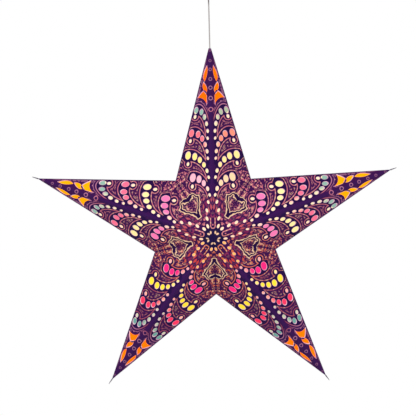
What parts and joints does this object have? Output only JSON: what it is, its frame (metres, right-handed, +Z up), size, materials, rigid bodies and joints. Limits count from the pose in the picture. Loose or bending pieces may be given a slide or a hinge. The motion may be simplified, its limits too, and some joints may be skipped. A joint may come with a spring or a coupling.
{
  "type": "paper star lantern",
  "caption": "Hanging five-pointed star lantern of folded, cut paper with coloured windows, a lamp inside and a lead to a ceiling cup.",
  "frame": {"origin": "on the ceiling plane, at the middle of the fixing strap above the star", "axes": "+Z up along the lead, +X to the right seen from the front, front of the star towards -Y"},
  "size_m": [0.6166, 0.2, 0.7007],
  "materials": {
    "printed_paper": "dark violet printed heavy paper, matte",
    "pink_paper": "pink translucent paper, lit from behind",
    "yellow_paper": "yellow translucent paper, lit from behind",
    "rose_paper": "rose translucent paper, lit from behind",
    "green_paper": "green translucent paper, lit from behind",
    "amber_paper": "amber translucent paper, lit from behind",
    "bulb_glass": "frosted cover, lit warm white",
    "sleeve_brass": "plain",
    "holder_plastic": "off-white moulded plastic",
    "contact_ceramic": "unglazed",
    "lead_sheath": "grey cable sheath",
    "stop_wood": "turned, unvarnished",
    "cup_paint": "satin off-white",
    "strap_steel": "zinc plated"
  },
  "bodies": {
    "root": {"point_top": "printed_paper", "point_right": "printed_paper", "point_lower_right": "printed_paper", "point_lower_left": "printed_paper", "point_left": "printed_paper", "pink_paper_top": "pink_paper", "yellow_paper_top": "yellow_paper", "rose_paper_top": "rose_paper", "green_paper_top": "green_paper", "amber_paper_top": "amber_paper", "pink_paper_right": "pink_paper", "yellow_paper_right": "yellow_paper", "rose_paper_right": "rose_paper", "green_paper_right": "green_paper", "amber_paper_right": "amber_paper", "pink_paper_lower_right": "pink_paper", "yellow_paper_lower_right": "yellow_paper", "rose_paper_lower_right": "rose_paper", "green_paper_lower_right": "green_paper", "amber_paper_lower_right": "amber_paper", "pink_paper_lower_left": "pink_paper", "yellow_paper_lower_left": "yellow_paper", "rose_paper_lower_left": "rose_paper", "green_paper_lower_left": "green_paper", "amber_paper_lower_left": "amber_paper", "pink_paper_left": "pink_paper", "yellow_paper_left": "yellow_paper", "rose_paper_left": "rose_paper", "green_paper_left": "green_paper", "amber_paper_left": "amber_paper", "bulb": "bulb_glass", "screw_sleeve": "sleeve_brass", "holder_shell": "holder_plastic", "contact_block": "contact_ceramic", "holder_cap": "holder_plastic", "inner_lead": "lead_sheath", "cord_stop": "stop_wood", "hanging_cord": "lead_sheath", "cord_grip": "holder_plastic", "fixing_tube": "strap_steel", "ceiling_cup": "cup_paint", "ceiling_strap": "strap_steel"}
  },
  "joints": []
}
